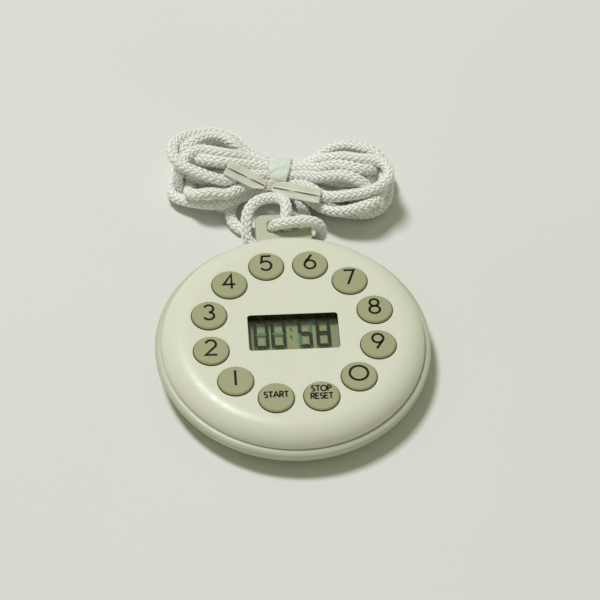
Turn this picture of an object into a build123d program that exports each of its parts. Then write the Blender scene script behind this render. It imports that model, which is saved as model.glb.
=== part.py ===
from build123d import *

import os
from math import cos, radians, sin, tan

# Countdown timer: a round two-shell case with a ring of twelve keys, a liquid crystal display,
# a sounder, a button cell behind a coin-slot door, and a braided neck cord through a lug.
# Millimetres. Origin at the centre of the flat back face, +Z out of the front face, +Y to the lug.

# ---- Case ----
CASE_R = 35.0            # widest radius, on the rear shell
CASE_H = 12.4            # flat back to flat front face
WALL = 1.6               # shell wall
BACK_ROUND_W = 10.0      # elliptical round from the flat back out to the widest radius
BACK_ROUND_H = 6.4
LIP_ROUND_W = 1.6        # elliptical round from the widest radius in to the seam
LIP_ROUND_H = 1.0
SEAM_GAP = 0.2           # shadow gap between the two shells
FACE_ROUND = 6.4         # width of the front shell's elliptical round
LIP_FIT = 0.1            # rear lip stands this far outside the front shell's inner wall
TONGUE_T = 1.1           # front shell's locating tongue
TONGUE_DEPTH = 1.4
TONGUE_ROOT = 1.28       # tongue's height inside the front shell's wall
TONGUE_FIT = 0.2

# ---- Neck cord lug ----
LUG_W = 14.6
LUG_REACH = 8.4          # beyond the case's widest radius
LUG_ROOT = 0.7           # outside the rear shell's inner wall
LUG_Z = 4.4              # underside
LUG_T = 2.4
LUG_CORNER = 2.2
LUG_EDGE = 0.5
LEVEL = 0.1              # slope under which an edge counts as level
SLOT_W = 8.4
SLOT_H = 3.9
SLOT_MARGIN = 2.2        # lug left outside the slot
SLOT_CORNER = 1.0

# ---- Keys ----
KEY_COUNT = 12
KEY_RING_R = 21.73
KEY_D = 8.9
KEY_PROUD = 0.6
KEY_BEVEL = 0.35
KEY_HOLE_CLEAR = 0.2
KEY_FLANGE_LAP = 0.7     # flange beyond the key's own radius
KEY_FLANGE_T = 0.7
KEY_FLANGE_GAP = 0.1     # flange below the front wall at rest
KEY_TRAVEL = 0.8
KEY_FIRST_ANGLE = -105.0
KEY_STEM_R = 3.0
KEY_NAMES = ["key_start", "key_stop_reset", "key_0", "key_9", "key_8", "key_7",
             "key_6", "key_5", "key_4", "key_3", "key_2", "key_1"]

# ---- Keypad mat, pills and board ----
STACK_H = 2.8            # board top to the front wall
BOARD_T = 1.0
BOARD_CLEAR = 0.6
MAT_T = 0.5
MAT_BOSS_CLEAR = 0.3
MAT_R = 27.0
MAT_MARGIN = 1.1         # mat inside the domes
DOME_H = 1.6             # dome top above the board
DOME_TOP_T = 0.4
DOME_BASE_R = 4.4
DOME_TOP_R = 3.3
DOME_WALL = 0.5
PILL_R = 1.9
PILL_T = 0.25
PAD_T = 0.05
PAD_GAP = 0.5            # between the two halves of a contact pad
BLOB_R = 4.0
BLOB_H = 1.5
BLOB_AT = (-12.0, -2.0)
CAN_R = 1.0              # watch crystal
CAN_L = 6.0
CAN_AT = (12.0, 1.0)
CAN_GAP = 0.1            # can below the board
LEG_R = 0.15
LEG_L = 1.2
LEG_OFFSET = 0.4
CHIP_SIZE = (1.6, 0.8, 0.7)
CHIPS_AT = [(-4.0, 1.2), (-1.0, 1.2), (17.0, -3.0)]
TRAVEL_MARGIN = 0.05     # pill to pad at full travel

# ---- Display ----
WINDOW_W = 22.9
WINDOW_H = 11.3
WINDOW_Y = -0.3
WINDOW_CORNER = 0.8
LENS_LAP = 1.0
LENS_T = 0.6
GLASS_LAP = 1.5
GLASS_T = 0.65
POLARISER_T = 0.15
POLARISER_INSET = 0.6
LEDGE = 2.2              # front glass beyond the rear glass, over the contact strip
STRIP_W = 1.4
STRIP_END_GAP = 1.0
FRAME_WALL = 0.8
FRAME_FIT = 0.1
FRAME_CORNER = 1.5
STACK_GAP = 0.05

# ---- Cutting ----
OVERSHOOT = 0.5          # how far a cutter stands out of each face it goes through

# ---- Fasteners ----
BOSS_INSET = 8.0         # boss centres inside the widest radius
BOSS_ANGLES = [30.0, 150.0, 210.0, 330.0]
REAR_BOSS_R = 3.0
FRONT_BOSS_R = 2.2
SCREW_R = 1.0
SCREW_HEAD_R = 1.9
SCREW_HEAD_H = 1.3
SCREW_HOLE_CLEAR = 0.12
SCREW_THREAD_CLEAR = 0.02
SCREW_HEAD_CLEAR = 0.2
SCREW_ENTRY = 3.0        # back face to the seat of the screw head
SCREW_GRIP = 2.2         # length in the front boss
SCREW_HEAD_EDGE = 0.4
PILOT_EXTRA = 0.4        # pilot hole beyond the screw's end
ROOT = 0.4               # how far a boss runs into the wall it stands on
CROSS_W = 0.5
CROSS_L = 2.4
CROSS_DEPTH = 0.7

# ---- Battery bay ----
CELL_R = 5.8
CELL_H_SHARE = 0.75      # of the depth from the door up to the board
CELL_CAN_SHARE = 0.8     # height of the can, of the cell's
CELL_CAP_INSET = 1.1
CELL_EDGE = 0.4
CELL_FIT = 0.2
CELL_GAP = 0.1           # cell above the door
DOOR_Y = -16.0
DOOR_LAP = 2.2           # door beyond the cell's radius
DOOR_T = 1.2
DOOR_RECESS = 0.2
DOOR_EDGE = 0.2
DOOR_FIT = 0.15
NECK_WALL = 0.8
NECK_FIT = 0.2
RING_SEAT_SHARE = 0.6 / 5.6     # heights of the seal's seat, the ledge and the tabs, of the same depth
LEDGE_SHARE = 0.9 / 5.6
TAB_SHARE = 0.8 / 5.6
RING_FILL = 0.56 / 0.6          # seal's thickness, of its seat's height
TAB_GAP = 0.1
TAB_REACH = 1.0
TAB_ANGLE = 30.0
TAB_NOTCH_EXTRA = 6.0
DOOR_TURN = 50.0
BAY_WALL = 1.4
COIN_SLOT_L = 10.0
COIN_SLOT_W = 1.5
COIN_SLOT_DEPTH = 0.7
COIN_SLOT_CORNER = 0.7
CONTACT_T = 0.25
CONTACT_W = 3.0
CONTACT_FOOT = 2.0       # foot soldered under the board
CONTACT_CLEAR = 1.0      # negative contact's post outside the cell
CONTACT_LIFT = 0.2       # positive contact above the bay

# ---- Sounder ----
SOUNDER_Y = 13.5
DISC_R = 10.0
DISC_T = 0.2
CERAMIC_R = 7.0
SOUNDER_RIB_H = 0.6
SOUNDER_RIB_W = 1.2
SOUND_HOLE_R = 0.6
SOUND_HOLE_RING = 3.4
SOUND_HOLE_COUNT = 6
WIRE_R = 0.3
WIRE_BEND = 0.9
LEAD_RISE = 0.3
LEAD_STARTS = [-8.4, -4.0]              # across the disc: on the brass, and on the ceramic
LEAD_ENDS = [(-11.4, 9.5), (-9.4, 8.0)]

# ---- Neck cord ----
CORD_R = 1.5
HANK_TURN = -9.1         # hank's long axis, from +X
HANK_CENTRE = (0.4, 17.75)           # from the middle of the lug's slot
HANK_HALF_L = 31.0
WAIST_HALF_L = 4.0
WAIST_A = 5.4            # half width of the waist
WAIST_C = 4.9            # half height of the waist
WAIST_Z = 5.3
LEFT_LOBE_A = 11.6       # half widths of the two lobes, and their half height
RIGHT_LOBE_A = 12.4
LOBE_C = 6.6
LOBE_STATIONS = [(18.0, 0.8, 0.95, 6.2), (9.0, 1.0, 1.0, 7.2), (3.0, 0.84, 0.8, 5.6), (0.0, 0.45, 0.42, 5.2)]
TIE_W = 6.0
TIE_T = 0.3
TIE_FIT = 0.06
TAIL_W = 4.0
TAIL_T = 0.8
TIE_WIRE_R = 0.22
TIE_WIRE_FIT = 0.03
TIE_WIRE_PROUD = 0.4
TWIST_R = 1.2
TWIST_L = 3.0
TWIST_END = (-2.6, -7.7, 8.9)        # near end of the twist, in the hank's own axes
TAIL_SPREAD = (0, 0.8, 0.6)          # a tail's width direction
TAILS = [((-3.4, -7.0, 9.8), (-14.0, -4.6, 13.3)), ((-1.8, -6.9, 9.5), (11.4, -9.2, 10.2))]

# ---- Derived ----
SEAM_R = CASE_R - LIP_ROUND_W
LIP_Z = BACK_ROUND_H + LIP_ROUND_H
SEAM_Z = LIP_Z + SEAM_GAP
BACK_FLAT_R = CASE_R - BACK_ROUND_W
FACE_FLAT_R = SEAM_R - FACE_ROUND
CEILING = CASE_H - WALL
FRONT_IN_R = SEAM_R - WALL
BAY_R = FRONT_IN_R + LIP_FIT
TONGUE_OUT_R = BAY_R - TONGUE_FIT
TONGUE_IN_R = TONGUE_OUT_R - TONGUE_T
BOARD_TOP = CEILING - STACK_H
BOARD_Z = BOARD_TOP - BOARD_T
BOARD_R = TONGUE_IN_R - BOARD_CLEAR
BOSS_R = CASE_R - BOSS_INSET
BOSSES = [(BOSS_R * cos(radians(a)), BOSS_R * sin(radians(a))) for a in BOSS_ANGLES]
LUG_END = CASE_R + LUG_REACH
SLOT_Y = LUG_END - SLOT_MARGIN - SLOT_H / 2
KEY_R = KEY_D / 2
FLANGE_R = KEY_R + KEY_FLANGE_LAP
FLANGE_TOP = CEILING - KEY_FLANGE_GAP
DOME_TOP = BOARD_TOP + DOME_H
PILL_Z = BOARD_TOP + PAD_T + KEY_TRAVEL + TRAVEL_MARGIN
GLASS_W = WINDOW_W + 2 * GLASS_LAP
GLASS_H = WINDOW_H + 2 * GLASS_LAP
LENS_Z = CEILING - LENS_T
FRONT_POLARISER_Z = LENS_Z - STACK_GAP - POLARISER_T
FRONT_GLASS_Z = FRONT_POLARISER_Z - GLASS_T
REAR_GLASS_Z = FRONT_GLASS_Z - GLASS_T
REFLECTOR_Z = REAR_GLASS_Z - POLARISER_T
MAT_IN_R = KEY_RING_R - DOME_BASE_R - MAT_MARGIN
THROUGH_WALL = WALL + 2 * OVERSHOOT
BOSS_ROOT_Z = WALL - ROOT
DOOR_R = CELL_R + DOOR_LAP
DOOR_TOP = DOOR_RECESS + DOOR_T
BAY_DEPTH = BOARD_Z - DOOR_TOP
CELL_H = BAY_DEPTH * CELL_H_SHARE
RING_SEAT = BAY_DEPTH * RING_SEAT_SHARE
RING_SECTION_R = RING_SEAT * RING_FILL / 2
LEDGE_T = BAY_DEPTH * LEDGE_SHARE
TAB_T = BAY_DEPTH * TAB_SHARE
LEDGE_Z = DOOR_TOP + RING_SEAT
TAB_Z = LEDGE_Z + LEDGE_T + TAB_GAP
NECK_IN_R = CELL_R + CELL_FIT
NECK_R = NECK_IN_R + NECK_WALL
NECK_TOP = TAB_Z + TAB_T
BAY_TOP = NECK_TOP + TAB_GAP
CELL_Z = DOOR_TOP + CELL_GAP
SOUNDER_Z = WALL + SOUNDER_RIB_H


def turned(*edges):
    """A solid of revolution about Z, from a closed outline drawn as (radius, height)."""
    return revolve(Plane.XZ * make_face(edges), Axis.Z)


def disc(radius, height, x=0.0, y=0.0, z=0.0):
    """An upright cylinder that stands on z."""
    return Pos(x, y, z) * Cylinder(radius, height, align=(Align.CENTER, Align.CENTER, Align.MIN))


def ring(outer, inner, height, x=0.0, y=0.0, z=0.0):
    """An upright tube that stands on z."""
    return disc(outer, height, x, y, z) - disc(inner, height, x, y, z)


def slab(width, depth, height, x=0.0, y=0.0, z=0.0, corner=0.0):
    """A flat plate that stands on z, with round corners if a radius is given."""
    outline = RectangleRounded(width, depth, corner) if corner else Rectangle(width, depth)
    return Pos(x, y, z) * extrude(outline, height)


def key_places():
    """Each key's name and centre, counter-clockwise from the first."""
    step = 360.0 / KEY_COUNT
    for number, name in enumerate(KEY_NAMES):
        angle = radians(KEY_FIRST_ANGLE + number * step)
        yield name, KEY_RING_R * cos(angle), KEY_RING_R * sin(angle)


# ---- Shells ----

def quarter(centre, width, height, start, size):
    """A quarter of an ellipse, in the outline's own plane."""
    return EllipticalCenterArc(centre, width, height, start_angle=start, arc_size=size)


def front_shell():
    """Face, elliptical round, locating tongue and four screw bosses, open for keys and display."""
    rise = CASE_H - SEAM_Z
    body = turned(
        Line((0, CASE_H), (FACE_FLAT_R, CASE_H)),
        quarter((FACE_FLAT_R, SEAM_Z), FACE_ROUND, rise, 90, -90),
        Line((SEAM_R, SEAM_Z), (FRONT_IN_R, SEAM_Z)),
        quarter((FACE_FLAT_R, SEAM_Z), FACE_ROUND - WALL, rise - WALL, 0, 90),
        Line((FACE_FLAT_R, CEILING), (0, CEILING)),
        Line((0, CEILING), (0, CASE_H)),
    )
    tongue_z = SEAM_Z - TONGUE_DEPTH
    body += ring(TONGUE_OUT_R, TONGUE_IN_R, TONGUE_DEPTH + TONGUE_ROOT, z=tongue_z)
    for x, y in BOSSES:
        body += disc(FRONT_BOSS_R, STACK_H + ROOT, x, y, BOARD_TOP)
    for x, y in BOSSES:
        pilot = SCREW_R + SCREW_THREAD_CLEAR
        body -= disc(pilot, SCREW_GRIP + PILOT_EXTRA, x, y, BOARD_TOP)
    for _, x, y in key_places():
        body -= disc(KEY_R + KEY_HOLE_CLEAR, THROUGH_WALL, x, y, CEILING - OVERSHOOT)
    body -= slab(WINDOW_W, WINDOW_H, THROUGH_WALL, 0, WINDOW_Y, CEILING - OVERSHOOT, WINDOW_CORNER)
    return body


def lug():
    """Slotted tab for the neck cord, rooted inside the rear shell's wall."""
    root = BAY_R + LUG_ROOT
    length = LUG_END - root
    body = slab(LUG_W, length, LUG_T, 0, root + length / 2, LUG_Z)
    corners = body.edges().filter_by(Axis.Z).group_by(Axis.Y)[-1]
    body = fillet(corners, LUG_CORNER)
    body -= slab(SLOT_W, SLOT_H, LUG_T, 0, SLOT_Y, LUG_Z, SLOT_CORNER)
    level = [edge for edge in body.edges() if abs(edge.tangent_at(0).Z) < LEVEL]
    rims = [edge for edge in level if edge.center().Y > root + LUG_EDGE]
    return fillet(rims, LUG_EDGE)


def door_bore():
    """The stepped bore that the battery door turns in, with notches for its two tabs."""
    tab_r = NECK_R + TAB_REACH + NECK_FIT
    ledge_top = LEDGE_Z + LEDGE_T
    bore = disc(DOOR_R + DOOR_FIT, LEDGE_Z + OVERSHOOT, 0, DOOR_Y, -OVERSHOOT)
    bore += disc(NECK_R + NECK_FIT, BAY_TOP + OVERSHOOT, 0, DOOR_Y, 0)
    bore += disc(tab_r, BAY_TOP + OVERSHOOT - ledge_top, 0, DOOR_Y, ledge_top)
    notch = extrude(tab_sector(tab_r, TAB_ANGLE + TAB_NOTCH_EXTRA), LEDGE_T + 2 * TAB_GAP)
    for turn in (0, 180):
        bore += Pos(0, DOOR_Y, LEDGE_Z - TAB_GAP) * Rot(0, 0, turn - DOOR_TURN) * notch
    return bore


def tab_sector(radius, angle):
    """A pie slice centred on +X."""
    half = radians(angle / 2)
    corner = (radius * cos(half), radius * sin(half))
    arc = CenterArc((0, 0), radius, -angle / 2, angle)
    return make_face([Line((0, 0), (corner[0], -corner[1])), arc, Line(corner, (0, 0))])


def rear_shell():
    """Back, bulging rim, lug, screw bosses, battery bay and sounder seat."""
    inner_w = BACK_ROUND_W - WALL
    inner_h = BACK_ROUND_H - WALL
    body = turned(
        Line((0, 0), (BACK_FLAT_R, 0)),
        quarter((BACK_FLAT_R, BACK_ROUND_H), BACK_ROUND_W, BACK_ROUND_H, -90, 90),
        quarter((SEAM_R, BACK_ROUND_H), LIP_ROUND_W, LIP_ROUND_H, 0, 90),
        Line((SEAM_R, LIP_Z), (BAY_R, LIP_Z)),
        Line((BAY_R, LIP_Z), (BAY_R, BACK_ROUND_H)),
        quarter((BAY_R - inner_w, BACK_ROUND_H), inner_w, inner_h, 0, -90),
        Line((BAY_R - inner_w, WALL), (0, WALL)),
        Line((0, WALL), (0, 0)),
    )
    for x, y in BOSSES:
        body += disc(REAR_BOSS_R, BOARD_Z - BOSS_ROOT_Z, x, y, BOSS_ROOT_Z)
    body += disc(NECK_R + TAB_REACH + NECK_FIT + BAY_WALL, BAY_TOP - WALL / 2, 0, DOOR_Y, WALL / 2)
    body += ring(DISC_R, DISC_R - SOUNDER_RIB_W, SOUNDER_Z - WALL / 2, 0, SOUNDER_Y, WALL / 2)
    body += lug()
    body -= door_bore()
    for x, y in BOSSES:
        body -= disc(SCREW_HEAD_R + SCREW_HEAD_CLEAR, SCREW_ENTRY + OVERSHOOT, x, y, -OVERSHOOT)
        body -= disc(SCREW_R + SCREW_HOLE_CLEAR, BOARD_Z, x, y, SCREW_ENTRY / 2)
    body -= disc(SOUND_HOLE_R, THROUGH_WALL, 0, SOUNDER_Y, -OVERSHOOT)
    for place in PolarLocations(SOUND_HOLE_RING, SOUND_HOLE_COUNT):
        body -= Pos(0, SOUNDER_Y, 0) * place * disc(SOUND_HOLE_R, THROUGH_WALL, z=-OVERSHOOT)
    return body


def case_screws():
    """Four pan-head screws with cross recesses, up from the back into the front shell."""
    length = BOARD_TOP + SCREW_GRIP - SCREW_ENTRY
    screws = []
    for x, y in BOSSES:
        head = disc(SCREW_HEAD_R, SCREW_HEAD_H, x, y, SCREW_ENTRY - SCREW_HEAD_H)
        head = fillet(head.edges().group_by(Axis.Z)[0], SCREW_HEAD_EDGE)
        screw = head + disc(SCREW_R, length, x, y, SCREW_ENTRY)
        low = SCREW_ENTRY - SCREW_HEAD_H
        screw -= slab(CROSS_L, CROSS_W, CROSS_DEPTH, x, y, low)
        screw -= slab(CROSS_W, CROSS_L, CROSS_DEPTH, x, y, low)
        screws.append(screw)
    return screws


# ---- Keys, mat and board ----

def keycap(x, y):
    """A round cap with a bevelled top, a retaining flange and a stem down to its dome."""
    height = CASE_H + KEY_PROUD - FLANGE_TOP
    cap = disc(KEY_R, height, x, y, FLANGE_TOP)
    cap = chamfer(cap.edges().group_by(Axis.Z)[-1], KEY_BEVEL)
    flange_z = FLANGE_TOP - KEY_FLANGE_T
    cap += disc(FLANGE_R, KEY_FLANGE_T, x, y, flange_z)
    return cap + disc(KEY_STEM_R, flange_z - DOME_TOP, x, y, DOME_TOP)


def keypad_mat():
    """Silicone sheet with a hollow dome under each key, notched round the screw bosses."""
    mat = ring(MAT_R, MAT_IN_R, MAT_T, z=BOARD_TOP)
    cavity_h = DOME_H - DOME_TOP_T
    align = (Align.CENTER, Align.CENTER, Align.MIN)
    for _, x, y in key_places():
        rise = DOME_H - MAT_T
        mat += Pos(x, y, BOARD_TOP + MAT_T) * Cone(DOME_BASE_R, DOME_TOP_R, rise, align=align)
    for _, x, y in key_places():
        low = DOME_BASE_R - DOME_WALL
        high = DOME_TOP_R - DOME_WALL
        mat -= Pos(x, y, BOARD_TOP) * Cone(low, high, cavity_h, align=align)
    for x, y in BOSSES:
        mat -= disc(FRONT_BOSS_R + MAT_BOSS_CLEAR, DOME_H, x, y, BOARD_TOP)
    return mat


def contact_pill(x, y):
    """Conductive pill under a dome's roof."""
    return disc(PILL_R, PILL_T, x, y, PILL_Z)


def key_contact_pads():
    """Two half-round gold pads on the board under each key."""
    pads = []
    for _, x, y in key_places():
        whole = disc(PILL_R, PAD_T, x, y, BOARD_TOP)
        gap = slab(PAD_GAP, 2 * (PILL_R + OVERSHOOT), PAD_T, x, y, BOARD_TOP)
        pads.extend((whole - gap).solids())
    return pads


def main_board():
    """Round printed board, clamped between the shells' screw bosses."""
    board = disc(BOARD_R, BOARD_T, z=BOARD_Z)
    for x, y in BOSSES:
        board -= disc(SCREW_R + SCREW_HOLE_CLEAR, BOARD_T, x, y, BOARD_Z)
    return board


def chip_blob():
    """Black epoxy cap over the timer chip, on the board's underside."""
    sphere_r = (BLOB_R ** 2 + BLOB_H ** 2) / (2 * BLOB_H)
    x, y = BLOB_AT
    ball = Pos(x, y, BOARD_Z + sphere_r - BLOB_H) * Sphere(sphere_r)
    return ball & disc(BLOB_R + OVERSHOOT, BLOB_H, x, y, BOARD_Z - BLOB_H)


def crystal_can():
    """Watch crystal lying under the board, with its two legs turned up into it."""
    x, y = CAN_AT
    z = BOARD_Z - CAN_R - CAN_GAP
    end = y + CAN_L / 2
    can = Pos(x, y, z) * Rot(90, 0, 0) * Cylinder(CAN_R, CAN_L)
    for side in (-LEG_OFFSET, LEG_OFFSET):
        can += Pos(x + side, end + LEG_L / 2, z) * Rot(90, 0, 0) * Cylinder(LEG_R, LEG_L)
        can += disc(LEG_R, BOARD_Z - z, x + side, end + LEG_L, z)
    return can


def chip_capacitors():
    """Three surface-mount parts under the board."""
    width, depth, height = CHIP_SIZE
    return [slab(width, depth, height, x, y, BOARD_Z - height) for x, y in CHIPS_AT]


# ---- Display ----

def glass(width, height, thick, z, y=WINDOW_Y):
    """A plain pane."""
    return slab(width, height, thick, 0, y, z)


def rear_glass():
    """Rear pane, shorter than the front one so that its contacts show below."""
    return glass(GLASS_W, GLASS_H - LEDGE, GLASS_T, REAR_GLASS_Z, WINDOW_Y + LEDGE / 2)


def zebra_strip():
    """Striped rubber connector, from the board up to the front glass's ledge."""
    y = WINDOW_Y - GLASS_H / 2 + LEDGE / 2
    height = FRONT_GLASS_Z - BOARD_TOP
    return slab(GLASS_W - 2 * STRIP_END_GAP, STRIP_W, height, 0, y, BOARD_TOP)


def reflector():
    """Silver backing behind the rear glass."""
    width = GLASS_W - 2 * POLARISER_INSET
    height = GLASS_H - LEDGE - 2 * POLARISER_INSET
    return glass(width, height, POLARISER_T, REFLECTOR_Z, WINDOW_Y + LEDGE / 2)


def front_polariser():
    """Film on the front of the display."""
    width = GLASS_W - 2 * POLARISER_INSET
    height = GLASS_H - 2 * POLARISER_INSET
    return glass(width, height, POLARISER_T, FRONT_POLARISER_Z)


def window_lens():
    """Clear window bonded behind the front wall."""
    corner = WINDOW_CORNER + LENS_LAP / 2
    return slab(WINDOW_W + 2 * LENS_LAP, WINDOW_H + 2 * LENS_LAP, LENS_T, 0, WINDOW_Y, LENS_Z, corner)


def lcd_frame():
    """Moulded surround that stands the display's panes on the board."""
    width = GLASS_W + 2 * FRAME_FIT
    height = GLASS_H + 2 * FRAME_FIT
    outer_w = width + 2 * FRAME_WALL
    outer_h = height + 2 * FRAME_WALL
    tall = FRONT_GLASS_Z + GLASS_T - BOARD_TOP
    body = slab(outer_w, outer_h, tall, 0, WINDOW_Y, BOARD_TOP, FRAME_CORNER)
    return body - slab(width, height, tall, 0, WINDOW_Y, BOARD_TOP)


# ---- Battery bay ----

def battery_door():
    """Coin-slot bayonet door: flange, neck round the cell and two locking tabs."""
    door = disc(DOOR_R, DOOR_T, 0, 0, DOOR_RECESS)
    door = chamfer(door.edges().group_by(Axis.Z)[0], DOOR_EDGE)
    door += ring(NECK_R, NECK_IN_R, NECK_TOP - DOOR_TOP, z=DOOR_TOP)
    sector = tab_sector(NECK_R + TAB_REACH, TAB_ANGLE)
    for turn in (0, 180):
        tab = Pos(0, 0, TAB_Z) * Rot(0, 0, turn) * extrude(sector, TAB_T)
        door += tab - disc(NECK_R - NECK_WALL / 2, TAB_T, z=TAB_Z)
    door -= slab(COIN_SLOT_L, COIN_SLOT_W, COIN_SLOT_DEPTH, z=DOOR_RECESS, corner=COIN_SLOT_CORNER)
    return Pos(0, DOOR_Y, 0) * door


def door_seal():
    """Rubber ring between the door and its ledge."""
    radius = (NECK_R + NECK_FIT + DOOR_R) / 2
    return Pos(0, DOOR_Y, DOOR_TOP + RING_SECTION_R) * Torus(radius, RING_SECTION_R)


def button_cell():
    """Alkaline button cell, its smaller cap towards the board."""
    cell = disc(CELL_R, CELL_H * CELL_CAN_SHARE, 0, DOOR_Y, CELL_Z)
    cell = fillet(cell.edges().group_by(Axis.Z)[-1] + cell.edges().group_by(Axis.Z)[0], CELL_EDGE)
    return cell + disc(CELL_R - CELL_CAP_INSET, CELL_H, 0, DOOR_Y, CELL_Z)


def contact_negative():
    """Leaf from the board that presses on the middle of the cell's cap."""
    cap_z = CELL_Z + CELL_H
    near = DOOR_Y + CELL_R + CONTACT_CLEAR
    foot = slab(CONTACT_W, CONTACT_FOOT, CONTACT_T, 0, near + CONTACT_FOOT / 2, BOARD_Z - CONTACT_T)
    post = slab(CONTACT_W, CONTACT_T, BOARD_Z - cap_z, 0, near + CONTACT_T / 2, cap_z)
    reach = near + CONTACT_T - DOOR_Y
    leaf = slab(CONTACT_W, reach, CONTACT_T, 0, DOOR_Y + reach / 2, cap_z)
    return foot + post + leaf


def contact_positive():
    """Blade from the board that touches the cell's side."""
    drop = BOARD_Z - BAY_TOP - CONTACT_LIFT
    blade = slab(CONTACT_T, CONTACT_W, drop, CELL_R + CONTACT_T / 2, DOOR_Y, BOARD_Z - drop)
    foot_x = CELL_R + CONTACT_FOOT / 2
    return blade + slab(CONTACT_FOOT, CONTACT_W, CONTACT_T, foot_x, DOOR_Y, BOARD_Z - CONTACT_T)


# ---- Sounder ----

def sounder_disc():
    """Brass disc on its rib."""
    return disc(DISC_R, DISC_T, 0, SOUNDER_Y, SOUNDER_Z)


def sounder_ceramic():
    """Silvered ceramic bonded to the brass."""
    return disc(CERAMIC_R, DISC_T, 0, SOUNDER_Y, SOUNDER_Z + DISC_T)


def wire(points, radius, bend):
    """A short insulated lead with one bend radius."""
    path = FilletPolyline(*points, radius=bend)
    return sweep(Plane(origin=path @ 0, z_dir=path % 0) * Circle(radius), path)


def sounder_leads():
    """One lead from the brass and one from the ceramic, up to the board."""
    brass_top = SOUNDER_Z + DISC_T
    ceramic_top = brass_top + DISC_T
    middle = (brass_top + BOARD_Z) / 2
    leads = []
    for start, end, low in zip(LEAD_STARTS, LEAD_ENDS, (brass_top, ceramic_top)):
        x0, y0 = start, SOUNDER_Y
        x1, y1 = end
        points = [(x0, y0, low), (x0, y0, middle), (x1, y1, middle + LEAD_RISE), (x1, y1, BOARD_Z)]
        leads.append(wire(points, WIRE_R, WIRE_BEND))
    return leads


# ---- Neck cord ----

# The cord is one loop. It passes twice through the lug's slot, and the two leads meet under the lug.
# Points across, along and above the floor, from the slot's centre.
LEAD_JOIN = (0.6, -2.75, 1.6)
LEAD_RIGHT = [
    LEAD_JOIN, (-3.4, -2.75, 1.6), (-7.4, -2.35, 1.6), (-9.7, -0.95, 3.0), (-9.7, 1.95, 5.6),
    (-9.0, 5.35, 7.8), (-6.2, 7.55, 8.8), (-2.6, 8.05, 9.2), (0.7, 6.55, 9.6), (1.1, 3.35, 10.0),
    (0.5, 0.35, 8.0), (0.5, -0.15, 4.4), (1.4, 0.55, 1.8), (4.6, 2.95, 1.6), (6.6, 5.75, 1.7),
    (6.2, 8.95, 2.5), (4.8, 11.55, 3.4),
]
LEAD_LEFT = [
    LEAD_JOIN, (4.4, -2.75, 1.6), (8.3, -2.35, 1.8), (10.3, -1.55, 4.4), (9.7, -1.05, 8.0),
    (6.4, -1.15, 10.0), (2.6, -1.65, 10.2), (-1.4, -1.75, 9.8), (-2.7, -0.15, 7.4), (-2.6, 0.05, 4.0),
    (-4.0, 1.05, 1.8), (-7.6, 1.95, 1.6), (-11.0, 3.55, 1.6), (-13.2, 6.35, 1.7),
    (-13.6, 9.35, 2.2), (-12.4, 12.05, 3.2),
]


def corner_radii(points, share=0.45):
    """Each corner's arc: a share of its shorter run, over the tangent of half its turn."""
    radii = []
    for before, here, after in zip(points, points[1:], points[2:]):
        run_in = Vector(*here) - Vector(*before)
        run_out = Vector(*after) - Vector(*here)
        half_turn = radians(run_in.get_angle(run_out) / 2)
        radii.append(share * min(run_in.length, run_out.length) / tan(half_turn))
    return radii


def cord_tube(name, points):
    """A round cord along straight runs joined by tangent arcs, from points about the slot."""
    points = [(x, SLOT_Y + y, z) for x, y, z in points]
    radii = corner_radii(points)
    path = FilletPolyline(*points, radius=radii)
    tube = sweep(Plane(origin=path @ 0, z_dir=path % 0) * Circle(CORD_R), path)
    section = Circle(CORD_R).area
    print(name, "radii", [round(r, 1) for r in radii])
    ratio = tube.volume / (section * path.length)
    print(name, "length", round(path.length, 1), "volume ratio", round(ratio, 4))
    return tube


def hank_place():
    """From the hank's own axes, long axis along X, to the case's."""
    return Pos(HANK_CENTRE[0], SLOT_Y + HANK_CENTRE[1], 0) * Rot(0, 0, HANK_TURN)


def hank_section(x, half_width, half_height, z):
    """An upright ellipse across the hank."""
    return Plane(origin=(x, 0, z), x_dir=(0, 1, 0), z_dir=(1, 0, 0)) * Ellipse(half_width, half_height)


def hank_lobe(side, half_width, half_height):
    """One end of the hank: turns fan out from the waist and close in a blunt end."""
    stations = [(WAIST_HALF_L, WAIST_A, WAIST_C, WAIST_Z)]
    for inset, wide, tall, z in LOBE_STATIONS:
        stations.append((HANK_HALF_L - inset, half_width * wide, half_height * tall, z))
    return loft([hank_section(side * x, a, c, z) for x, a, c, z in stations])


def lanyard_hank():
    """Outer shape of the folded cord: two lobes and a tied waist, flat where it lies."""
    waist = extrude(hank_section(-WAIST_HALF_L, WAIST_A, WAIST_C, WAIST_Z), 2 * WAIST_HALF_L)
    body = waist + hank_lobe(-1, LEFT_LOBE_A, LOBE_C) + hank_lobe(1, RIGHT_LOBE_A, LOBE_C)
    below = slab(3 * HANK_HALF_L, 3 * HANK_HALF_L, HANK_HALF_L, z=-HANK_HALF_L)
    return hank_place() * (body - below)


def tail_frame(start, end):
    """A tail's cross-section plane at its start, tilted back to lie against the turns, and its length."""
    run = Vector(*end) - Vector(*start)
    return Plane(origin=start, x_dir=TAIL_SPREAD, z_dir=run.normalized()), run.length


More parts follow.
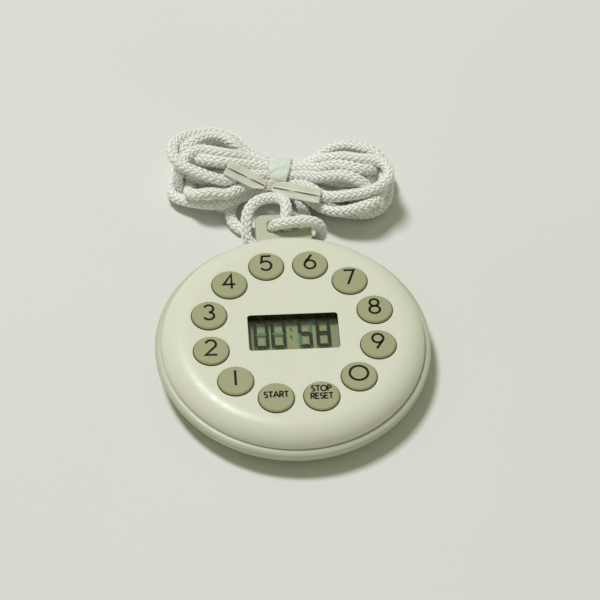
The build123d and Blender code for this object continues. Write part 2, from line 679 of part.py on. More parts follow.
def twist_tie():
    """Band round the waist, a short twist in front of it and two flat tails."""
    outer = hank_section(-TIE_W / 2, WAIST_A + TIE_FIT + TIE_T, WAIST_C + TIE_FIT + TIE_T, WAIST_Z)
    inner = hank_section(-TIE_W / 2, WAIST_A + TIE_FIT, WAIST_C + TIE_FIT, WAIST_Z)
    core = extrude(inner, TIE_W)
    x, y, z = TWIST_END
    twist = Pos(x, y + TWIST_L / 2, z) * Rot(90, 0, 0) * Cylinder(TWIST_R, TWIST_L)
    body = extrude(outer, TIE_W) + twist - core
    for start, end in TAILS:
        plane, reach = tail_frame(start, end)
        body += extrude(plane * Rectangle(TAIL_W, TAIL_T), reach)
    for start, end in TAILS:
        plane, reach = tail_frame(start, end)
        body -= extrude(plane * Circle(TIE_WIRE_R + TIE_WIRE_FIT), reach)
    return hank_place() * body


def tie_wires():
    """Steel core of each tail, its cut end just proud."""
    wires = []
    for start, end in TAILS:
        plane, reach = tail_frame(start, end)
        wires.append(hank_place() * extrude(plane.offset(TIE_WIRE_PROUD) * Circle(TIE_WIRE_R), reach))
    return wires


# ---- Build ----

def build():
    """Every node's solids, by name."""
    nodes = {
        "front_shell": front_shell(),
        "rear_shell": rear_shell(),
        "case_screws": case_screws(),
        "window_lens": window_lens(),
        "lcd_front_polariser": front_polariser(),
        "lcd_front_glass": glass(GLASS_W, GLASS_H, GLASS_T, FRONT_GLASS_Z),
        "lcd_rear_glass": rear_glass(),
        "lcd_reflector": reflector(),
        "lcd_frame": lcd_frame(),
        "zebra_strip": zebra_strip(),
        "main_board": main_board(),
        "key_contact_pads": key_contact_pads(),
        "chip_blob": chip_blob(),
        "crystal_can": crystal_can(),
        "chip_capacitors": chip_capacitors(),
        "keypad_mat": keypad_mat(),
        "battery_door": battery_door(),
        "door_seal": door_seal(),
        "button_cell": button_cell(),
        "contact_negative": contact_negative(),
        "contact_positive": contact_positive(),
        "sounder_disc": sounder_disc(),
        "sounder_ceramic": sounder_ceramic(),
        "sounder_leads": sounder_leads(),
        "lanyard_hank": lanyard_hank(),
        "lanyard_lead_left": cord_tube("lanyard_lead_left", LEAD_LEFT),
        "lanyard_lead_right": cord_tube("lanyard_lead_right", LEAD_RIGHT),
        "twist_tie": twist_tie(),
        "tie_wires": tie_wires(),
    }
    for name, x, y in key_places():
        nodes[name] = keycap(x, y)
        nodes[name.replace("key", "pill")] = contact_pill(x, y)
    return nodes


def write(nodes):
    """One STEP file for each node."""
    os.makedirs("parts", exist_ok=True)
    for name, shape in nodes.items():
        solids = shape if isinstance(shape, list) else [shape]
        found = [solid for item in solids for solid in item.solids()]
        export_step(found[0] if len(found) == 1 else Compound(children=found), f"parts/{name}.step")


write(build())
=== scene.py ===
import math

import bpy
import numpy as np
from mathutils import Matrix, Vector


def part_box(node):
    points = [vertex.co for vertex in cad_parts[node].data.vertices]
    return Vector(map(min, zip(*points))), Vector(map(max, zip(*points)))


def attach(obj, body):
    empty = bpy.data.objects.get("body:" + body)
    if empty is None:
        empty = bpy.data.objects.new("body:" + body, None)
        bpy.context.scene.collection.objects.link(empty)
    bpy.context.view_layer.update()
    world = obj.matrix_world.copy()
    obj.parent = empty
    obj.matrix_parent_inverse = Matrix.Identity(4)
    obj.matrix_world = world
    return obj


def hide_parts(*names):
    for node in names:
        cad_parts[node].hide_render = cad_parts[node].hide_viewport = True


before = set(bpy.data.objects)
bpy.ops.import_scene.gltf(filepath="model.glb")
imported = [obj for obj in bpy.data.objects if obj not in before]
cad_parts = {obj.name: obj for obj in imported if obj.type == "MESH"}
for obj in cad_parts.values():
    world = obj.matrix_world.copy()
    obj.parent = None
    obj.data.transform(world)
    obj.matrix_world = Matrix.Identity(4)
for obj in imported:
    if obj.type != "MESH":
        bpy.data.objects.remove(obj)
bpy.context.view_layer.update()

MM = 0.001
TAU = 2 * math.pi

# ---- Camera: the photograph's viewing angle ----
AZIMUTH, ELEVATION, ROLL = -5.5, 51.277, 2.113     # degrees
DISTANCE = 0.6995
TARGET = Vector((0.002281, 0.009723, 0.0124))


def add_camera():
    a, e, r = (math.radians(v) for v in (AZIMUTH, ELEVATION, ROLL))
    back = Vector((math.sin(a) * math.cos(e), -math.cos(a) * math.cos(e), math.sin(e)))
    level = Vector((math.cos(a), math.sin(a), 0))
    rise = back.cross(level)
    right = math.cos(r) * level + math.sin(r) * rise
    up = math.cos(r) * rise - math.sin(r) * level
    data = bpy.data.cameras.new("camera")
    data.lens = 165.25
    data.sensor_width = 36.0
    data.clip_start = 0.01
    data.clip_end = 20.0
    camera = bpy.data.objects.new("camera", data)
    turn = Matrix((right, up, back)).transposed().to_4x4()
    camera.matrix_world = Matrix.Translation(TARGET + DISTANCE * back) @ turn
    bpy.context.scene.collection.objects.link(camera)
    bpy.context.scene.camera = camera


add_camera()

# ---- Neck cord: one closed lanyard, 3 mm braid, folded into a tied hank ----
CORD_R = 1.5                     # millimetres, as are all the lengths of the cord and its tie
SLOT_Y = 39.25                   # middle of the lug's slot, which the points below are measured from
LEAD_JOIN = (0.6, -2.75, 1.6)
LEAD_RIGHT = [
    LEAD_JOIN, (-3.4, -2.75, 1.6), (-7.4, -2.35, 1.6), (-9.7, -0.95, 3.0), (-9.7, 1.95, 5.6),
    (-9.0, 5.35, 7.8), (-6.2, 7.55, 8.8), (-2.6, 8.05, 9.2), (0.7, 6.55, 9.6), (1.1, 3.35, 10.0),
    (0.5, 0.35, 8.0), (0.5, -0.15, 4.4), (1.4, 0.55, 1.8), (4.6, 2.95, 1.6), (6.6, 5.75, 1.7),
    (6.2, 8.95, 2.5), (4.8, 11.55, 3.4),
]
LEAD_LEFT = [
    LEAD_JOIN, (4.4, -2.75, 1.6), (8.3, -2.35, 1.8), (10.3, -1.55, 4.4), (9.7, -1.05, 8.0),
    (6.4, -1.15, 10.0), (2.6, -1.65, 10.2), (-1.4, -1.75, 9.8), (-2.7, -0.15, 7.4), (-2.6, 0.05, 4.0),
    (-4.0, 1.05, 1.8), (-7.6, 1.95, 1.6), (-11.0, 3.55, 1.6), (-13.2, 6.35, 1.7),
    (-13.6, 9.35, 2.2), (-12.4, 12.05, 3.2),
]
LEAD_LEFT = [(x, SLOT_Y + y, z) for x, y, z in LEAD_LEFT]
LEAD_RIGHT = [(x, SLOT_Y + y, z) for x, y, z in LEAD_RIGHT]
HANK_TURN = math.radians(-9.1)
HANK_CENTRE = (0.4, SLOT_Y + 17.75)
WAIST_A, WAIST_C, WAIST_Z = 5.4, 4.9, 5.3
TAILS = [((-3.4, -7.0, 9.8), (-14.0, -4.6, 13.3)), ((-1.8, -6.9, 9.5), (11.4, -9.2, 10.2))]
TWIST_END = (-2.6, -7.7, 8.9)

# Where each pass of the cord crosses the hank: clock angle in degrees and share of the radius.
# Odd passes run to the right on the near side, even ones back to the left on the far side.
PASSES = [(210, 0.9), (10, 0.9), (118, 0.9), (280, 0.9), (180, 0.9), (42, 0.9), (120, 0.42), (305, 0.9),
          (150, 0.9), (90, 0.9), (225, 0.42), (338, 0.9), (100, 0.8), (355, 0.4), (246, 0.9)]
# Each lobe's half width, half height, middle height, end and twist.
LOBES = {1: (12.0, 5.8, 7.4, 31.0, -14.0), -1: (12.0, 5.8, 7.4, 31.6, 8.0)}
END_PULL = [0.2, 2.6, 1.0, 3.6, 0.0, 2.0, 1.2]  # how far each pair of passes turns back short of the end
STEP = 2.1                       # spacing of the points while the turns settle
WAIST_HALF = 3.5                 # the hank keeps its waist this far to each side of the tie
LOBE_AT = 19.0                   # and has its full lobe from here out
WAIST_FILL_W, WAIST_FILL_H = 0.74, 0.72  # share of the waist that the cord's middle lines take


def to_local(points):
    p = np.asarray(points, float) - (*HANK_CENTRE, 0.0)
    c, s = math.cos(HANK_TURN), math.sin(HANK_TURN)
    return np.stack([p[:, 0] * c + p[:, 1] * s, p[:, 1] * c - p[:, 0] * s, p[:, 2]], 1)


def to_world(points):
    p = np.asarray(points, float)
    c, s = math.cos(HANK_TURN), math.sin(HANK_TURN)
    turned = np.stack([p[:, 0] * c - p[:, 1] * s, p[:, 0] * s + p[:, 1] * c, p[:, 2]], 1)
    return turned + (*HANK_CENTRE, 0.0)


def respaced(points, step):
    """The same line with points a step apart, its two ends kept."""
    p = np.asarray(points, float)
    along = np.concatenate([[0.0], np.cumsum(np.linalg.norm(np.diff(p, axis=0), axis=1))])
    stops = np.linspace(0, along[-1], max(2, round(along[-1] / step) + 1))
    return np.stack([np.interp(stops, along, p[:, k]) for k in range(3)], 1)


def crossing(number, side, share):
    """A pass's place on the waist (share 0) or on one side's lobe (share 1)."""
    angle, radius = PASSES[number]
    half_w, half_h, z, _, twist = LOBES[side]
    a = math.radians(angle)
    b = math.radians(angle + twist)
    waist = np.array([WAIST_FILL_W * WAIST_A * radius * math.cos(a),
                      WAIST_Z + WAIST_FILL_H * WAIST_C * radius * math.sin(a)])
    lobe = np.array([half_w * radius * math.cos(b), z + half_h * radius * math.sin(b)])
    return waist * (1 - share) + lobe * share


def hank_start():
    """The hank's turns before they settle: each pass through the waist, then a bend in a lobe."""
    line = list(to_local([LEAD_LEFT[-1]])) + [(-9.0, -6.0, 2.6), (-6.5, -4.8, 2.6)]
    count = len(PASSES)
    for number in range(count):
        heading = 1 if number % 2 == 0 else -1
        first = -LOBE_AT if number else -WAIST_HALF
        last = LOBE_AT if number < count - 1 else 2.5
        for x in np.arange(first, last + 0.1, 1.0):
            share = min(1.0, max(0.0, (abs(x) - WAIST_HALF) / (LOBE_AT - WAIST_HALF)))
            share = share * share * (3 - 2 * share)
            y, z = crossing(number, heading if x > 0 else -heading, share)
            line.append((heading * x, y, z))
        if number == count - 1:
            break
        here, there = crossing(number, heading, 1), crossing(number + 1, heading, 1)
        reach = LOBES[heading][3] - END_PULL[number // 2] - LOBE_AT
        for t in np.linspace(0.08, 0.92, 22):
            swing = 0.5 + 0.5 * math.cos(math.pi * t)
            y, z = here * swing + there * (1 - swing)
            line.append((heading * (LOBE_AT + reach * math.sin(math.pi * t)), y, z))
    line += list(to_local([LEAD_RIGHT[-1]]))
    return respaced(line, STEP)


def quadratic(points, per_run=3):
    """Points on the quadratic spline that these control points make."""
    p = np.asarray(points, float)
    ends = [p[0]]
    for a, b, c in zip(p, p[1:], p[2:]):
        for t in np.linspace(0, 1, per_run, endpoint=False):
            s, e = (a + b) / 2, (b + c) / 2
            ends.append((1 - t) ** 2 * s + 2 * t * (1 - t) * b + t * t * e)
    ends.append(p[-1])
    return np.array(ends)


def tie_obstacles():
    """Places the cord keeps clear of: the two tails and the twist, with their reach."""
    spots = []
    for start, end in TAILS:
        a, b = np.array(start), np.array(end)
        for t in np.linspace(0, 1, 9):
            for across in (-1.6, -0.8, 0, 0.8, 1.6):
                spots.append(a + (b - a) * t + across * np.array((0, 0.8, 0.6)))
    for y in np.linspace(0, 3.0, 4):
        spots.append(np.array(TWIST_END) + (0, y, 0))
    return np.array(spots)


def settle(line, rounds=600):
    """Lets the turns push each other apart, bend evenly and sink, inside the tie and the lobes."""
    p = line.copy()
    ends = p[[0, -1]].copy()
    leads = np.concatenate([to_local(quadratic(LEAD_LEFT))[:-4], to_local(quadratic(LEAD_RIGHT))[:-4]])
    tie = tie_obstacles()
    n = len(p)
    rows, cols = np.triu_indices(n, 3)
    rest = np.linalg.norm(np.diff(p, axis=0), axis=1).mean()
    for turn in range(rounds):
        late = turn / rounds
        away = np.abs(p[:, 0])
        if late > 0.5:
            p[:, 2] -= 0.004
        p[1:-1] += 0.05 * ((p[:-2] + p[2:]) / 2 - p[1:-1])
        for skip, chord in ((2, 4.0), (4, 7.3)):
            gap = p[skip:] - p[:-skip]
            size = np.linalg.norm(gap, axis=1, keepdims=True)
            push = 0.18 * gap * np.maximum(0, chord / size - 1)
            p[skip:] += push
            p[:-skip] -= push
        for _ in range(5):
            for begin in (0, 1):
                a, b = p[begin:-1:2], p[begin + 1::2]
                gap = b - a
                size = np.linalg.norm(gap, axis=1, keepdims=True)
                pull = 0.5 * gap * (1 - rest / size)
                a += pull
                b -= pull
        for side in (-1, 1):
            half_w, half_h, z, end, _ = LOBES[side]
            grow = np.clip((away - 3.5) / 13.0, 0, 1)
            grow = grow * grow * (3 - 2 * grow)
            a = 0.755 * WAIST_A * (1 - grow) + half_w * grow
            c = 0.735 * WAIST_C * (1 - grow) + half_h * grow
            mid = WAIST_Z * (1 - grow) + z * grow
            out = np.sqrt((p[:, 1] / a) ** 2 + ((p[:, 2] - mid) / c) ** 2)
            if late < 0.75:
                wide = (p[:, 0] * side > 10) & (out > 0.55) & (out < 1)
                p[wide, 1] *= 1.004
                p[wide, 2] = mid[wide] + (p[wide, 2] - mid[wide]) * 1.006
            over = (out > 1) & (p[:, 0] * side > 0)
            squeeze = 1 + (1 / out[over] - 1) * 0.8
            p[over, 1] *= squeeze
            p[over, 2] = mid[over] + (p[over, 2] - mid[over]) * squeeze
            p[:, 0] = np.where(p[:, 0] * side > end, side * end + (p[:, 0] - side * end) * 0.4, p[:, 0])
        thick = 2.26 + 0.72 * np.clip((away - 4.0) / 5.0, 0, 1)
        for _ in range(3):
            near = np.linalg.norm(p[rows] - p[cols], axis=1)
            need = (thick[rows] + thick[cols]) / 2
            hit = near < need
            i, j, d = rows[hit], cols[hit], near[hit][:, None]
            push = (p[i] - p[j]) / np.maximum(d, 1e-6) * (need[hit][:, None] - d) * 0.4
            np.add.at(p, i, push)
            np.add.at(p, j, -push)
        for things, reach in ((leads, 2.9), (tie, 2.1)):
            gap = p[:, None] - things[None]
            size = np.linalg.norm(gap, axis=2)
            close = size.argmin(1)
            size = size[np.arange(n), close]
            gap = gap[np.arange(n), close]
            inside = (size < reach) & (np.arange(n) > 3) & (np.arange(n) < n - 4)
            outward = gap[inside] / np.maximum(size[inside], 1e-6)[:, None]
            p[inside] += outward * (reach - size[inside])[:, None] * 0.6
        p[:, 2] = np.maximum(p[:, 2], CORD_R * (0.82 + 0.18 * np.clip((away - 4) / 5, 0, 1)))
        p[[0, -1]] = ends
    return p


hank = settle(hank_start())
route = LEAD_LEFT + [tuple(q) for q in to_world(hank[1:-1:2])] + LEAD_RIGHT[::-1]


def spline_curve(name, points, order=3):
    """One open NURBS spline through these control points, in millimetres."""
    curve = bpy.data.curves.new(name, "CURVE")
    curve.dimensions = "3D"
    curve.resolution_u = 4
    spline = curve.splines.new("NURBS")
    spline.points.add(len(points) - 1)
    for point, place in zip(spline.points, points):
        point.co = (*(v * MM for v in place), 1.0)
    spline.order_u = order
    spline.use_endpoint_u = True
    return curve


def curve_line(name, points, step):
    """Evenly spaced points on that spline's own line, in millimetres."""
    guide = bpy.data.objects.new(name, spline_curve(name, points))
    bpy.context.scene.collection.objects.link(guide)
    mesh = bpy.data.meshes.new_from_object(guide)
    line = np.array([v.co for v in mesh.vertices]) / MM
    bpy.data.objects.remove(guide)
    bpy.data.meshes.remove(mesh)
    return respaced(line, step)


def frames(line):
    """Tangent, normal and binormal at each point, turned as little as possible along the line."""
    t = np.gradient(line, axis=0)
    t /= np.linalg.norm(t, axis=1, keepdims=True)
    n = np.zeros_like(t)
    seed = np.array((0.0, 0.0, 1.0))
    seed -= seed.dot(t[0]) * t[0]
    n[0] = seed / np.linalg.norm(seed)
    for i in range(1, len(t)):
        v = n[i - 1] - n[i - 1].dot(t[i]) * t[i]
        n[i] = v / np.linalg.norm(v)
    return t, n, np.cross(t, n)


def piece(name, verts, faces, body="case", smooth=True):
    """A mesh piece in millimetres that rides on a CAD body."""
    mesh = bpy.data.meshes.new(name)
    mesh.from_pydata([tuple(v) for v in np.asarray(verts, float) * MM], [], faces)
    mesh.validate()
    if smooth:
        mesh.shade_smooth()
    obj = bpy.data.objects.new(name, mesh)
    bpy.context.scene.collection.objects.link(obj)
    if body:
        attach(obj, body)
    return obj


def tube_faces(rings, around, start=0):
    """Quads between rings of points."""
    faces = []
    for i in range(rings - 1):
        for k in range(around):
            a = start + i * around + k
            b = start + i * around + (k + 1) % around
            faces.append((a, b, b + around, a + around))
    return faces


def fill_uv(obj, coords):
    """One UV for each vertex: along the strand and across it."""
    layer = obj.data.uv_layers.new(name="strand")
    index = np.empty(len(obj.data.loops), dtype=np.int32)
    obj.data.loops.foreach_get("vertex_index", index)
    layer.data.foreach_set("uv", np.asarray(coords, np.float32)[index].ravel())


BRAID_PITCH = 12.6
CARRIERS = 8                     # each way
STRAND_W, STRAND_T = 0.43, 0.25  # half width and half thickness of a strand
BRAID_WAVE = 0.20                # how far a strand rises and dips as it goes over and under
BRAID_MID = 1.17                 # middle radius of the strands
BRAID_STEP = 0.55
TIE_SQUEEZE, TIE_GIVE = 0.84, 0.16  # cord's size under the tie, and what it regains away from it
LEADS_Y = -8.5                   # the leads, beyond this, are at full size
CORE_SHARE = 0.62                # core's radius against the cord's


def braided(name, line):
    """A round braid: eight strands each way, two over and two under, on a soft core."""
    line = respaced(line, BRAID_STEP)
    t, n, b = frames(line)
    along = np.arange(len(line)) * BRAID_STEP
    local = to_local(line)
    waist = np.clip((np.abs(local[:, 0]) - WAIST_HALF) / 5.0, 0, 1) + (local[:, 1] < LEADS_Y)
    size = TIE_SQUEEZE + TIE_GIVE * np.clip(waist, 0, 1)
    size = np.convolve(np.pad(size, 4, mode="edge"), np.ones(9) / 9, "valid")
    size *= 1 + 0.03 * np.sin(along * 0.37) * np.sin(along * 0.11 + 1.0)
    verts, faces, coords, crest_shade = [], [], [], []
    section = [(STRAND_W * math.cos(a), STRAND_T * math.sin(a))
               for a in np.linspace(0, TAU, 6, endpoint=False)]
    for way in (1, -1):
        for carrier in range(CARRIERS):
            theta = way * TAU * along / BRAID_PITCH + TAU * carrier / CARRIERS
            wave = way * np.cos(4 * (theta - math.radians(11.25)))
            wave = np.sign(wave) * np.abs(wave) ** 0.7
            fat = 1 + 0.07 * np.sin(along * 0.9 + carrier * 2.1 + way)
            radius = (BRAID_MID + BRAID_WAVE * wave) * size
            out = n * np.cos(theta)[:, None] + b * np.sin(theta)[:, None]
            spin = b * np.cos(theta)[:, None] - n * np.sin(theta)[:, None]
            centre = line + out * radius[:, None]
            run = t * (BRAID_PITCH / TAU) + spin * (way * radius)[:, None]
            run /= np.linalg.norm(run, axis=1, keepdims=True)
            side = np.cross(run, out)
            start = sum(len(v) for v in verts)
            ring = np.stack([centre + side * (w * size * fat)[:, None] + out * (h * size)[:, None]
                             for w, h in section], 1)
            verts.append(ring.reshape(-1, 3))
            faces += tube_faces(len(line), len(section), start)
            coords += [(s / 10.0, k / 6.0) for s in along for k in range(len(section))]
            # The strand's rise, 1 where it rides over and 0 where it dips under, for the painted shade between the
            # strands.
            crest_shade += [0.5 + 0.5 * v for v in wave for _ in section]
    around = 10
    start = sum(len(v) for v in verts)
    core = [line + (n * math.cos(a) + b * math.sin(a)) * (CORE_SHARE * CORD_R * size)[:, None]
            for a in np.linspace(0, TAU, around, endpoint=False)]
    verts.append(np.stack(core, 1).reshape(-1, 3))
    faces += tube_faces(len(line), around, start)
    coords += [(s / 10.0, k / around) for s in along for k in range(around)]
    # The core takes the deepest painted shade.
    crest_shade += [0.0] * (len(line) * around)
    obj = piece(name, np.concatenate(verts), faces)
    fill_uv(obj, coords)
    lift = obj.data.attributes.new("crest_shade", "FLOAT", "POINT")
    lift.data.foreach_set("value", crest_shade)
    return obj


cord_line = curve_line("cord_guide", route, 1.0)
neck_cord = braided("neck_cord", cord_line)

# ---- Twist tie: a creased plastic strip round the waist, a short twist and two flat tails ----
TIE_LOOP_A, TIE_LOOP_C, TIE_HALF_W = 5.6, 5.1, 2.9


def crease(angle, across):
    """How far the band dips or stands at one place: shallow folds that meet in a Y."""
    dip = 0.0
    for centre, lean, deep in ((1.5, 0.30, 0.20), (1.8, -0.34, 0.18), (2.4, 0.12, 0.14), (-0.6, 0.3, 0.15)):
        away = angle - centre - lean * across / TIE_HALF_W
        dip += deep * math.exp(-(away / 0.07) ** 2)
    return -dip + 0.05 * math.sin(9 * angle + across)


def tie_band():
    """The band round the waist, pinched in where it meets the twist."""
    around, across = 160, 12
    verts, faces = [], []
    for layer in (0.0, 0.16):
        for i in range(around):
            angle = TAU * i / around
            pinch = math.exp(-((math.atan2(math.sin(angle - 2.45), math.cos(angle - 2.45))) / 0.5) ** 2)
            for k in range(across + 1):
                x = TIE_HALF_W * (1 - 0.25 * pinch) * (2 * k / across - 1)
                edge = abs(2 * k / across - 1) ** 6 * 0.12
                lift = layer + 0.14 + crease(angle, x) * (0.4 + 0.6 * (layer > 0)) - edge
                y = (TIE_LOOP_A + lift) * math.cos(angle)
                z = WAIST_Z + (TIE_LOOP_C + lift) * math.sin(angle)
                verts.append((x - 0.3, y, z))
    ring = across + 1
    shell = around * ring
    for i in range(around):
        j = (i + 1) % around
        for k in range(across):
            a, b = i * ring + k, j * ring + k
            faces.append((a, b, b + 1, a + 1))
            faces.append((shell + a, shell + a + 1, shell + b + 1, shell + b))
        for k in (0, across):
            a, b = i * ring + k, j * ring + k
            faces.append((a, a + shell, b + shell, b) if k == 0 else (b, b + shell, a + shell, a))
    return to_world(verts), faces


def tie_tail(start, end, droop):
    """A flat tail with a ridge along its wire, curved a little and cut square."""
    a, b = np.array(start), np.array(end)
    run = (b - a) / np.linalg.norm(b - a)
    width = np.array((0, 0.8, 0.6))
    width = width - width.dot(run) * run
    width /= np.linalg.norm(width)
    up = np.cross(run, width)
    up *= 1 if up[2] > 0 else -1
    stops, across = 36, 14
    verts, faces = [], []
    for layer in (-0.5, 0.5):
        for i in range(stops + 1):
            t = i / stops
            half = 0.9 + 1.15 * min(1.0, t / 0.25)
            bow = droop * math.sin(math.pi * t) + 0.10 * math.sin(7 * t + 1.0)
            for k in range(across + 1):
                w = 2 * k / across - 1
                ridge = 0.17 * math.exp(-(w / 0.13) ** 2)
                curl = 0.16 * w * w * (1 - t) - 0.08 * math.sin(11 * t + 3 * w)
                thick = (0.09 + ridge) * (1 if layer > 0 else -1)
                verts.append(a + (b - a) * t + width * (w * half) + up * (bow + curl * 0.6 + thick))
    ring = across + 1
    shell = (stops + 1) * ring
    for i in range(stops):
        for k in range(across):
            p, q = i * ring + k, (i + 1) * ring + k
            faces.append((p, p + 1, q + 1, q))
            faces.append((shell + p, shell + q, shell + q + 1, shell + p + 1))
        for k in (0, across):
            p, q = i * ring + k, (i + 1) * ring + k
            faces.append((p, q, q + shell, p + shell) if k == 0 else (q, p, p + shell, q + shell))
    for k in range(across):
        faces.append((k, k + shell, k + 1 + shell, k + 1))
        e = stops * ring + k
        faces.append((e, e + 1, e + 1 + shell, e + shell))
    return to_world(verts), faces


def tie_twist():
    """Two strip ends wound round each other for a turn and a half."""
    stops, around = 40, 12
    verts, faces = [], []
    x0, y0, z0 = TWIST_END
    for strand in (0, 1):
        start = len(verts)
        for i in range(stops + 1):
            t = i / stops
            turn = TAU * 1.5 * t + math.pi * strand
            fat = 0.45 + 0.18 * math.sin(math.pi * t)
            cx, cz = x0 + 0.48 * math.cos(turn), z0 + 0.48 * math.sin(turn)
            for k in range(around):
                a = TAU * k / around
                u, v = 0.62 * math.cos(a), fat * math.sin(a)
                verts.append((cx + u * math.cos(turn) - v * math.sin(turn), y0 + 3.0 * t,
                              cz + u * math.sin(turn) + v * math.cos(turn)))
        faces += tube_faces(stops + 1, around, start)
        faces.append(tuple(start + k for k in range(around))[::-1])
        faces.append(tuple(start + stops * around + k for k in range(around)))
    return to_world(verts), faces


def joined(parts):
    verts, faces = [], []
    for v, f in parts:
        faces += [tuple(i + len(verts) for i in face) for face in f]
        verts += [tuple(p) for p in v]
    return verts, faces


tie_meshes = [tie_band(), tie_twist(), tie_tail(*TAILS[0], 0.15), tie_tail(*TAILS[1], 0.2)]
tie = piece("twist_tie_strip", *joined(tie_meshes))


def wire_core(start, end, droop):
    """A tail's steel wire, its cut end a little proud of the strip."""
    a, b = np.array(start), np.array(end)
    run = (b - a) / np.linalg.norm(b - a)
    width = np.array((0, 0.8, 0.6))
    up = np.cross(run, width - width.dot(run) * run)
    up *= (1 if up[2] > 0 else -1) / np.linalg.norm(up)
    stops = [a + (b - a) * t + up * (droop * math.sin(math.pi * min(1.0, t)) + 0.10 * math.sin(7 * min(1.0, t) + 1.0) + 0.14)
             for t in np.linspace(0.04, 1.0, 30)]
    stops.append(stops[-1] + run * 0.4)
    line = to_world(stops)
    _, n, c = frames(line)
    around = 10
    rings = np.stack([line + (n * math.cos(q) + c * math.sin(q)) * 0.16
                      for q in np.linspace(0, TAU, around, endpoint=False)], 1)
    faces = tube_faces(len(line), around)
    faces.append(tuple(range(around))[::-1])
    faces.append(tuple((len(line) - 1) * around + k for k in range(around)))
    return rings.reshape(-1, 3), faces


wires = piece("tie_wire_cores", *joined([wire_core(*TAILS[0], 0.15), wire_core(*TAILS[1], 0.2)]))

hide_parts("lanyard_hank", "lanyard_lead_left", "lanyard_lead_right")
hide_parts("twist_tie")
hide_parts("tie_wires")

# ---- Materials ----


def colour(r, g, b):
    """Linear colour from screen values 0 to 255."""
    return tuple((v / 255 / 12.92) if v <= 10 else ((v / 255 + 0.055) / 1.055) ** 2.4 for v in (r, g, b)) + (1.0,)


class Look:
    """A node material round one Principled shader."""

    def __init__(self, name, **values):
        self.mat = bpy.data.materials.new(name)
        self.mat.use_nodes = True
        self.nodes = self.mat.node_tree.nodes
        self.links = self.mat.node_tree.links
        self.shader = next(n for n in self.nodes if n.type == "BSDF_PRINCIPLED")
        self.coords = self.nodes.new("ShaderNodeTexCoord")
        for key, value in values.items():
            self.shader.inputs[key.replace("_", " ")].default_value = value

    def noise(self, scale, detail=3.0, roughness=0.5, stretch=None, output="Object"):
        node = self.nodes.new("ShaderNodeTexNoise")
        node.inputs["Scale"].default_value = scale
        node.inputs["Detail"].default_value = detail
        node.inputs["Roughness"].default_value = roughness
        source = self.coords.outputs[output]
        if stretch:
            mapping = self.nodes.new("ShaderNodeMapping")
            mapping.inputs["Scale"].default_value = stretch
            self.links.new(source, mapping.inputs["Vector"])
            source = mapping.outputs["Vector"]
        self.links.new(source, node.inputs["Vector"])
        return node.outputs["Fac"]

    def spread(self, fac, low, high, a=0.3, b=0.7):
        node = self.nodes.new("ShaderNodeMapRange")
        node.inputs["From Min"].default_value = a
        node.inputs["From Max"].default_value = b
        node.inputs["To Min"].default_value = low
        node.inputs["To Max"].default_value = high
        self.links.new(fac, node.inputs["Value"])
        return node.outputs["Result"]

    def ramp(self, fac, *stops):
        node = self.nodes.new("ShaderNodeValToRGB")
        ramp = node.color_ramp
        while len(ramp.elements) < len(stops):
            ramp.elements.new(0.5)
        for element, (place, value) in zip(ramp.elements, stops):
            element.position = place
            element.color = value
        self.links.new(fac, node.inputs["Fac"])
        return node.outputs["Color"]

    def mix(self, fac, a, b):
        node = self.nodes.new("ShaderNodeMix")
        node.data_type = "RGBA"
        for value, socket in ((fac, node.inputs[0]), (a, node.inputs[6]), (b, node.inputs[7])):
            if hasattr(value, "is_linked"):
                self.links.new(value, socket)
            else:
                socket.default_value = value
        return node.outputs[2]

    def math(self, kind, a, b=0.0):
        node = self.nodes.new("ShaderNodeMath")
        node.operation = kind
        for value, socket in ((a, node.inputs[0]), (b, node.inputs[1])):
            if hasattr(value, "is_linked"):
                self.links.new(value, socket)
            else:
                socket.default_value = value
        return node.outputs["Value"]

    def bump(self, height, strength, distance):
        node = self.nodes.new("ShaderNodeBump")
        node.inputs["Strength"].default_value = strength
        node.inputs["Distance"].default_value = distance
        self.links.new(height, node.inputs["Height"])
        self.links.new(node.outputs["Normal"], self.shader.inputs["Normal"])

    def set(self, socket, value):
        self.links.new(value, self.shader.inputs[socket])

    def axis(self, name):
        """One object coordinate, in metres."""
        node = self.nodes.new("ShaderNodeSeparateXYZ")
        self.links.new(self.coords.outputs["Object"], node.inputs[0])
        return node.outputs[name]


def shade(c, f):
    return tuple(v * f for v in c[:3]) + (1.0,)


def moulded(name, base, rough, grain=5200.0, bump=0.10, drift=0.04, **values):
    """Moulded plastic: faint colour drift, fine spark-eroded grain and uneven gloss."""
    look = Look(name, **values)
    wide = look.noise(55.0, 4.0, 0.6)
    look.set("Base Color", look.ramp(wide, (0.25, shade(base, 1 - drift)), (0.75, shade(base, 1 + drift * 0.6))))
    look.set("Roughness", look.spread(look.noise(420.0, 3.0), rough - 0.04, rough + 0.05))
    look.bump(look.noise(grain, 2.0), bump, 0.00004)
    return look


FACE = colour(228, 229, 213)
BACK = colour(196, 199, 176)
KEY = colour(167, 170, 131)

cream = moulded("cream_plastic", FACE, 0.33, drift=0.02, bump=0.06, Specular_IOR_Level=0.34,
                Subsurface_Weight=0.06, Subsurface_Scale=0.0012)


def below(look, height, radius):
    """1 where the surface is under a height and within a radius of the case's axis."""
    x, y = look.axis("X"), look.axis("Y")
    reach = look.math("ADD", look.math("MULTIPLY", x, x), look.math("MULTIPLY", y, y))
    return look.math("MULTIPLY", look.math("LESS_THAN", reach, radius ** 2),
                     look.math("LESS_THAN", look.axis("Z"), height))


def with_painted_shade(look, base, drift, shade_mask, tone):
    """The plastic's own colour, and a painted shade colour where the mask is 1."""
    wide = look.noise(55.0, 4.0, 0.6)
    tint = look.ramp(wide, (0.25, shade(base, 1 - drift)), (0.75, shade(base, 1 + drift * 0.6)))
    look.set("Base Color", look.mix(shade_mask, tint, tone))
